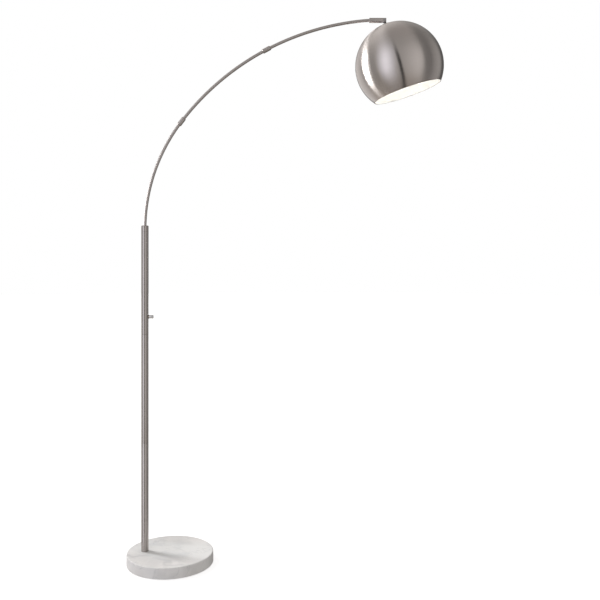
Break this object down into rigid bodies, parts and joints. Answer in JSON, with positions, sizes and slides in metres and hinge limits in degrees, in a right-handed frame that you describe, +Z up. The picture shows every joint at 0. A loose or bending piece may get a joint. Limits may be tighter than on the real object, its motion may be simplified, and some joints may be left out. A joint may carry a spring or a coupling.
{
  "type": "arc floor lamp",
  "caption": "Floor lamp with a round marble base, an offset pole, a long curved arm and a dome shade that tilts on a hinge at the arm's end.",
  "frame": {"origin": "centre of the base's flat underside, on the surface the lamp stands on", "axes": "+Z up along the pole; +X from the pole towards the shade; +Y completes a right-handed frame, across the plane of the arm"},
  "size_m": [1.1047, 0.3074, 1.9037],
  "materials": {
    "nickel": "brushed nickel plate on steel tube",
    "shade_metal": "spun and brushed, nickel colour outside, white enamel inside",
    "chrome": "polished",
    "steel": "zinc plated",
    "brass": "turned",
    "marble": "honed and polished white marble with soft grey veins",
    "rubber": "matt",
    "black_plastic": "moulded",
    "porcelain": "glazed",
    "bulb_glass": "opal",
    "lead_sheath": "soft sheath"
  },
  "bodies": {
    "stand": {"base_pad": "rubber", "marble_base": "marble", "cord_bushing": "rubber", "base_threaded_rod": "steel", "base_plate_washer": "steel", "base_lock_washer": "steel", "base_nut": "steel", "pole_foot_plug": "steel", "pole_tube_lower": "nickel", "pole_tube_middle": "nickel", "pole_tube_upper": "nickel", "pole_joint_lower": "steel", "pole_joint_upper": "steel", "arm_socket": "steel", "pole_cap": "nickel", "arm_clamp_screw": "steel", "switch_body": "black_plastic", "switch_neck": "brass", "switch_nut": "nickel", "supply_lead": "lead_sheath", "pole_lead": "lead_sheath"},
    "switch": {"switch_shaft": "brass", "switch_knob": "chrome"},
    "arm": {"arm_rod_lower": "nickel", "arm_rod_middle": "nickel", "arm_rod_upper": "nickel", "arm_coupling_lower": "nickel", "arm_coupling_upper": "nickel", "arm_spigot_lower": "steel", "arm_spigot_upper": "steel", "end_sleeve": "nickel", "hinge_screw": "steel", "hinge_nut": "steel", "hinge_washer_front": "black_plastic", "hinge_washer_rear": "black_plastic", "arm_lead": "lead_sheath"},
    "shade_head": {"hinge_tongue": "steel", "shade_cap": "chrome", "shade_nipple": "steel", "shade_washer": "steel", "shade_nut": "brass", "shade": "shade_metal", "holder_cup": "black_plastic", "holder_skirt": "black_plastic", "holder_insulator": "porcelain", "holder_contact": "brass", "holder_thread_shell": "brass", "bulb_contact": "brass", "bulb_cap": "nickel", "bulb_globe": "bulb_glass", "head_lead": "lead_sheath"}
  },
  "joints": [
    {"name": "arm_swivel", "type": "hinge", "parent": "stand", "child": "arm", "pos_m": [-0.0884, 0, 1.11], "axis": [0, 0, 1], "range_deg": [-45, 45]},
    {"name": "shade_tilt", "type": "hinge", "parent": "arm", "child": "shade_head", "pos_m": [0.74892, 0, 1.89494], "axis": [0, -1, 0], "range_deg": [-23, 52]},
    {"name": "switch_turn", "type": "hinge", "parent": "stand", "child": "switch", "pos_m": [-0.0634, 0, 0.859], "axis": [1, 0, 0], "continuous": true}
  ]
}
